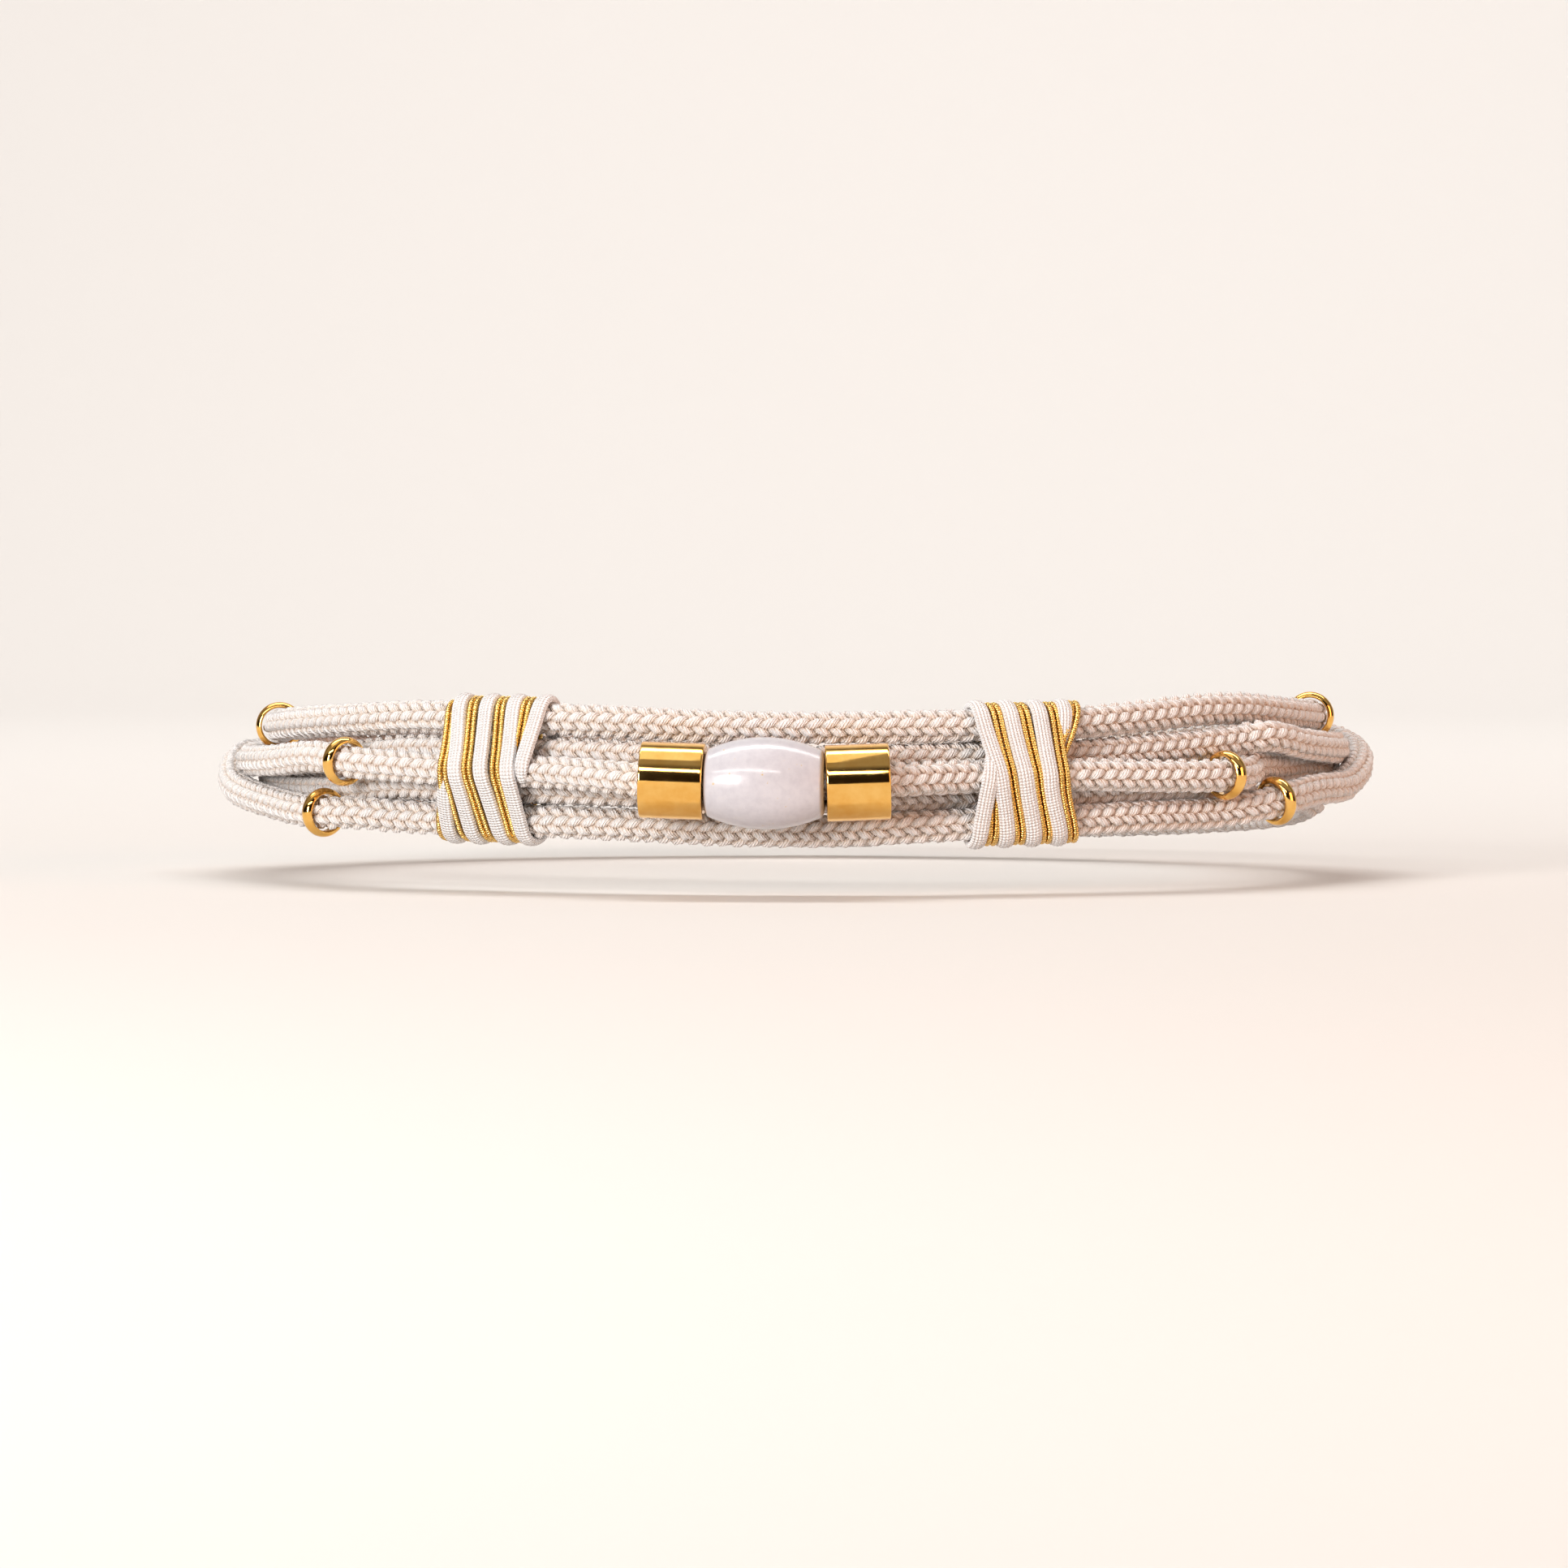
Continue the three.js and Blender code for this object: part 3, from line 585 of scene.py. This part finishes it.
def windingRun(cord, distance, apart=0.0, parting=None):
    passes, first = np.array(cord["passes"]), cord["first"]
    _, quarters = quarterMarks(outlineRound(np.mean(passes), distance))
    numbers = first + np.arange(len(passes))
    marks = quarters[numbers % 4] + quarters[-1] * (numbers // 4)
    start = marks[0] + cord["leftOut"][0] * (marks[1] - marks[0])
    end = marks[-1] - cord["leftOut"][1] * (marks[-1] - marks[-2])
    spots = np.linspace(start, end, round((end - start) / winding["spacing"]))
    # the passes turn gently where they meet
    angles = np.pad(smoothly(marks, passes, spots), winding["angleSpread"] // 2, "edge")
    angles = evened(angles, winding["angleSpread"])
    fromEnd = np.minimum(spots - start, end - spots)
    depths = tuck["depth"] * np.clip(1 - fromEnd / tuck["length"], 0, 1) ** 2
    places, outward = [], []
    for spot, angle, depth in zip(spots, angles, depths):
        outline = outlineRound(angle, distance - depth)
        lengths, here = quarterMarks(outline)
        share = np.interp(spot % quarters[-1], quarters, here)
        off, up = (np.interp(share, lengths, outline[:, k]) for k in (0, 1))
        ahead = [float(np.diff(np.interp((share - 0.2, share + 0.2), lengths, outline[:, k]))[0])
                 for k in (0, 1)]
        place, out = waistPlace(np.array([angle]), off, up)
        # outward from the ropes: the outline's own direction, turned a quarter
        places.append(place[0])
        outward.append((out[0] * -ahead[1] + np.array([0, 0, ahead[0]])) / math.hypot(*ahead))
    places, outward = np.array(places), np.array(outward)
    # the cord is too stiff to follow each dip between the ropes
    inner = slice(winding["placeSpread"] // 2, -(winding["placeSpread"] // 2))
    for line in (places, outward):
        for k in range(3):
            line[inner, k] = evened(line[:, k], winding["placeSpread"])
    run = evenRun(places, outward)
    partings = np.ones(len(marks))
    for number, widening in (parting or {}).items():
        partings[number] = widening
    along = np.linspace(start, end, len(run["places"]))
    run["places"] = run["places"] + (apart * smoothly(marks, partings, along))[:, None] * run["up"]
    return run


def screwed(bm, verts, repeatLength, steps, turn, length):
    # draws a section out along X, one repeat at a time, and closes its ends
    edges = list({edge for vert in verts for edge in vert.link_edges})
    bmesh.ops.spin(bm, geom=verts + edges, cent=(0, 0, 0), axis=(1, 0, 0), angle=turn,
                   dvec=(repeatLength / steps, 0, 0), steps=steps, use_merge=False)
    mesh = repeated(meshFrom(bm, "repeat"), repeatLength, math.ceil(length / repeatLength))
    whole = bmesh.new()
    whole.from_mesh(mesh)
    bmesh.ops.holes_fill(whole, edges=[edge for edge in whole.edges if edge.is_boundary], sides=0)
    return meshFrom(whole, "cord")


def wrapCordMesh(length):
    bm = bmesh.new()
    verts = bmesh.ops.create_circle(bm, segments=wrapCord["sides"], radius=1,
                                    matrix=Matrix.Rotation(math.pi / 2, 4, "Y"))["verts"]
    for vert in verts:
        # y is the thickness, outward from the ropes, and z the width
        across, out = vert.co.z, vert.co.y
        groove = 1 - abs(math.sin(math.pi * wrapCord["ribs"] * (across + 1) / 2))
        rib = -wrapCord["ribDepth"] * groove
        across = math.copysign(abs(across) ** wrapCord["flatness"], across)
        vert.co = (0, out * (wrapCord["thickness"] / 2 + rib), across * wrapCord["width"] / 2)
    steps = wrapCord["stepsPerRepeat"]
    return screwed(bm, verts, steps * wrapCord["step"], steps, 0, length)


def goldStrandMesh(length):
    bm = bmesh.new()
    verts = bmesh.ops.create_circle(bm, segments=goldStrand["sides"], radius=1,
                                    matrix=Matrix.Rotation(math.pi / 2, 4, "Y"))["verts"]
    for vert in verts:
        angle = math.atan2(vert.co.z, vert.co.y)
        ply = goldStrand["plyDepth"] * (math.cos(goldStrand["plies"] * angle) - 1) / 2
        vert.co *= goldStrand["diameter"] / 2 + ply
    return screwed(bm, verts, goldStrand["twistLength"], goldStrand["steps"], 2 * math.pi, length)


def fitted(mesh, run):
    # draws the straight cord to the run's length
    flat = coordinates(mesh)
    flat[:, 0] *= run["length"] / flat[:, 0].max()
    fromEnd = np.clip(np.minimum(flat[:, 0], run["length"] - flat[:, 0]) / tuck["length"], 0, 1)
    flat[:, 2] *= tuck["narrow"] + (1 - tuck["narrow"]) * np.sqrt(fromEnd)
    mesh.vertices.foreach_set("co", flat.ravel())
    bendAlong(mesh, run)
    return mesh


def joined(name, meshes):
    bm = bmesh.new()
    for mesh in meshes:
        bm.from_mesh(mesh)
    whole = bpy.data.meshes.new(name)
    bm.to_mesh(whole)
    bm.free()
    return whole


for side, wrap in wraps.items():
    run = windingRun(wrap["cord"], rope["radius"] + wrapCord["thickness"] / 2)
    cord = fitted(wrapCordMesh(run["length"]), run)
    newPiece(f"{side}WrapCord", cord, wrapMaterial, f"wrap_{side}_cord")
    strands = []
    for beside in (-0.5, 0.5):
        run = windingRun(wrap["gold"], rope["radius"] + goldStrand["diameter"] / 2 + goldStrand["offRopes"],
                         beside * goldStrand["diameter"], wrap["parting"])
        strands.append(fitted(goldStrandMesh(run["length"]), run))
    newPiece(f"{side}WrapGold", joined(f"{side}WrapGold", strands), threadMaterial, f"wrap_{side}_gold")
print("wraps wound")

# ---- the bead and the tubes on the middle rope ----
bead = {"length": 25.5, "diameter": 19.5, "endDiameter": 14.7, "rim": 0.8, "crown": 0.35, "bore": 8.4,
        "mouth": 0.6, "sides": 96}
tube = {"length": 13.5, "diameter": 16.2, "bore": 8.0, "rim": 0.45, "sides": 96}
tubes = [("left", 0.15 - tubeAngle, 5), ("right", tubeAngle - 0.15, -4)]      # side, angle and lean
ring = {"diameter": 10.8, "bore": 8.1, "width": 3.1, "edge": 0.15, "innerShare": 0.6, "sides": 64}
# each ring's side, rope, angle round the waist and lean on its rope, in degrees
rings = [("left", 1, -84, 0), ("left", 3, -49.5, -8), ("left", 5, -54, -10),
         ("right", 1, 84, 0), ("right", 3, 51.8, 0), ("right", 5, 60.4, 0)]


def turned(name, outline, sides):
    # spins a closed outline of along and out round the X axis
    bm = bmesh.new()
    verts = [bm.verts.new((along, 0, out)) for along, out in outline]
    edges = [bm.edges.new((verts[i - 1], verts[i])) for i in range(len(verts))]
    bmesh.ops.spin(bm, geom=verts + edges, cent=(0, 0, 0), axis=(1, 0, 0), angle=2 * math.pi, steps=sides,
                   use_merge=True)
    return meshFrom(bm, name)


def curved(start, bend, end, steps):
    marks = [k / steps for k in range(steps + 1)]
    return [tuple((1 - t) ** 2 * a + 2 * t * (1 - t) * b + t * t * c for a, b, c in zip(start, bend, end))
            for t in marks]


def beadMesh():
    half, end = bead["length"] / 2, bead["endDiameter"] / 2
    bore, mouthWidth, rim = bead["bore"] / 2, bead["mouth"], half - bead["crown"]
    # the end face bulges by the crown, the rim is rounded, and the barrel is a flat curve from rim to rim
    side = curved((-half, bore + mouthWidth), (-half, end - 1.4), (-rim, end - bead["rim"]), 6)
    side += curved((-rim, end - bead["rim"]), (-rim + 0.25, end - 0.15), (-rim + bead["rim"], end), 6)[1:]
    barrel = curved((-rim + bead["rim"], end), (0, bead["diameter"] - end), (rim - bead["rim"], end), 40)
    barrel = barrel[1:-1]
    mouth = curved((-half, bore + mouthWidth), (-half, bore), (-half + mouthWidth, bore), 4)[1:]
    left = mouth[::-1] + side
    right = [(-along, out) for along, out in reversed(left)]
    return turned("bead", left + barrel + right, bead["sides"])


def tubeMesh():
    half, outer, bore, rim = tube["length"] / 2, tube["diameter"] / 2, tube["bore"] / 2, tube["rim"]
    left = curved((-half + rim, bore), (-half, bore), (-half, bore + rim), 5)
    left += curved((-half, outer - rim), (-half, outer), (-half + rim, outer), 6)
    right = [(-along, out) for along, out in reversed(left)]
    return turned("tube", left + right, tube["sides"])


def ringMesh():
    bore, outer, half = ring["bore"] / 2, ring["diameter"] / 2, ring["width"] / 2
    dome, inner = outer - bore - ring["edge"], half * ring["innerShare"]
    outline = [(half * math.sin(t), bore + ring["edge"] + dome * math.cos(t))
               for t in np.linspace(-math.pi / 2, math.pi / 2, 15)]
    outline += [(inner, bore), (-inner, bore)]
    return turned("ring", outline, ring["sides"])


def threadOn(mesh, number, angle, lean=0):
    # sets a turned piece on a rope, its axis along the rope
    angles = np.array([angle - 0.4, angle, angle + 0.4])
    places, outward = waistPlace(angles, *ropeOffAndUp(number, angles))
    along = Matrix.Rotation(math.radians(lean), 3, "Z") @ Vector(unit(places[2] - places[0]))
    out = Vector(outward[1])
    out = (out - along * out.dot(along)).normalized()
    turn = Matrix((along, out, along.cross(out))).transposed().to_4x4()
    mesh.transform(Matrix.Translation(Vector(places[1]) * mm) @ turn @ Matrix.Scale(mm, 4))
    return mesh


newPiece("barrelBead", threadOn(beadMesh(), 3, 0), paintMaterial, "bead")
for side, angle, lean in tubes:
    newPiece(f"{side}Tube", threadOn(tubeMesh(), 3, angle, lean), goldMaterial, f"tube_{side}")
for side, number, angle, lean in rings:
    newPiece(f"{side}Ring{number}", threadOn(ringMesh(), number, angle, lean), goldMaterial,
             f"ring_{side}_{number}")
print("bead, tubes and rings threaded")

# ---- the clasp ----
clasp = {"length": 26.0, "wall": 1.0, "web": 6.0, "play": 0.5, "edge": 0.5}


def claspMesh():
    bm = bmesh.new()
    outline = outlineRound(180, rope["radius"] + clasp["play"] + clasp["wall"])[:-1]
    verts = [bm.verts.new((-clasp["length"] / 2, waist["depth"] / 2 + off, up)) for off, up in outline]
    extruded = bmesh.ops.extrude_face_region(bm, geom=[bm.faces.new(verts)])["geom"]
    bmesh.ops.translate(bm, verts=only(bmesh.types.BMVert, extruded), vec=(clasp["length"], 0, 0))
    rims = [edge for edge in bm.edges if abs(edge.verts[0].co.x - edge.verts[1].co.x) < 0.01]
    bmesh.ops.bevel(bm, geom=rims, offset=clasp["edge"], segments=3, profile=0.5, material=-1,
                    affect="EDGES")
    for end in (-1, 1):
        # the end face, and not a face of the bevel beside it
        cap = max(bm.faces, key=lambda f: f.calc_center_median().x * end + f.calc_area() * 0.001)
        bmesh.ops.inset_region(bm, faces=[cap], thickness=clasp["wall"] - clasp["edge"],
                               use_even_offset=True)
        pocket = bmesh.ops.extrude_face_region(bm, geom=[cap])["geom"]
        bmesh.ops.delete(bm, geom=[cap], context="FACES_ONLY")
        bmesh.ops.translate(bm, verts=only(bmesh.types.BMVert, pocket),
                            vec=(-end * (clasp["length"] - clasp["web"]) / 2, 0, 0))
    mesh = meshFrom(bm, "clasp")
    mesh.transform(Matrix.Scale(mm, 4))
    return mesh


newPiece("clasp", claspMesh(), claspPaintMaterial(), "clasp")
print("clasp fitted")

# ---- the studio ----
studio = {
    "floorDrop": 0.0015,
    "floor": (0.76, 0.73, 0.7),
    "near": -6, "halfWidth": 8,     # where it starts, in front of the belt, and how far it goes sideways
    "back": 1.5,                    # where it starts to sweep up, behind the belt
    "sweep": 1.0,                   # radius of the sweep
    "height": 5,                    # of the backdrop above it
    "bright": (1.0, 0.93, 0.87),
    "dark": (0.05, 0.035, 0.03),
}


def addFloor():
    # a floor that sweeps up behind into a backdrop
    level, back, radius = cadBox[0][2] - studio["floorDrop"], studio["back"], studio["sweep"]
    bm = bmesh.new()
    line = [bm.edges.new([bm.verts.new((x, studio["near"], level))
                          for x in (-studio["halfWidth"], studio["halfWidth"])])]
    flatPart = bmesh.ops.extrude_edge_only(bm, edges=line)["geom"]
    bmesh.ops.translate(bm, verts=only(bmesh.types.BMVert, flatPart), vec=(0, back - studio["near"], 0))
    line = only((bmesh.types.BMVert, bmesh.types.BMEdge), flatPart)
    curve = bmesh.ops.spin(bm, geom=line, cent=(0, back, level + radius), axis=(1, 0, 0), angle=math.pi / 2,
                           steps=24, use_merge=False)["geom_last"]
    backdrop = bmesh.ops.extrude_edge_only(bm, edges=only(bmesh.types.BMEdge, curve))["geom"]
    bmesh.ops.translate(bm, verts=only(bmesh.types.BMVert, backdrop), vec=(0, 0, studio["height"]))
    mesh = meshFrom(bm, "floor")
    mesh.shade_smooth()
    floor = bpy.data.objects.new("floor", mesh)
    bpy.context.scene.collection.objects.link(floor)
    material, _, _, shader = nodeTree("paleFloor")
    shader.inputs["Base Color"].default_value = (*studio["floor"], 1)
    shader.inputs["Roughness"].default_value = 0.9
    shader.inputs["Specular IOR Level"].default_value = 0.1
    mesh.materials.append(material)


def addLight(name, place, size, power, colour, aim=(0, -0.05, 0)):
    data = bpy.data.lights.new(name, "AREA")
    data.shape = "RECTANGLE"
    data.size, data.size_y = size
    data.energy = power
    data.color = colour
    lamp = bpy.data.objects.new(name, data)
    lamp.location = place
    lamp.rotation_euler = (Vector(place) - Vector(aim)).to_track_quat("Z", "Y").to_euler()
    bpy.context.scene.collection.objects.link(lamp)


def addWorld():
    # bright behind and overhead, dark where the camera stands, as in a studio
    world = bpy.data.worlds.new("studio")
    world.use_nodes = True
    nodes, links = world.node_tree.nodes, world.node_tree.links
    place = addNode(nodes, "ShaderNodeTexCoord")
    split = addNode(nodes, "ShaderNodeSeparateXYZ")
    links.new(place.outputs["Generated"], split.inputs["Vector"])
    toFront = mathNode(nodes, links, "MULTIPLY", split.outputs["Y"], 0.6)
    height = mathNode(nodes, links, "ADD", split.outputs["Z"], toFront)
    colour = ramp(nodes, links, height,
                  [(0.0, studio["dark"]), (0.2, studio["dark"]), (0.45, studio["bright"])])
    links.new(colour, nodes["Background"].inputs["Color"])
    nodes["Background"].inputs["Strength"].default_value = 0.32
    bpy.context.scene.world = world


addFloor()
addLight("key", (-0.75, -1.25, 0.26), (0.45, 0.45), 14.5, (1, 0.975, 0.95))
addLight("strip", (-0.35, -1.1, 0.72), (1.3, 0.16), 6, (1, 0.98, 0.96))
addLight("above", (-0.3, 0.0, 1.2), (1.2, 0.8), 2.6, (1, 0.97, 0.93))
addLight("warmSide", (1.2, -0.7, 0.3), (0.8, 0.8), 8, (1, 0.5, 0.3))
addLight("backdropLight", (0, 0.6, 2.2), (3.0, 1.0), 62, (1, 1, 1), aim=(0, 2.4, 0.4))
addWorld()
bpy.context.scene.view_settings.view_transform = "Standard"
print("studio lit")
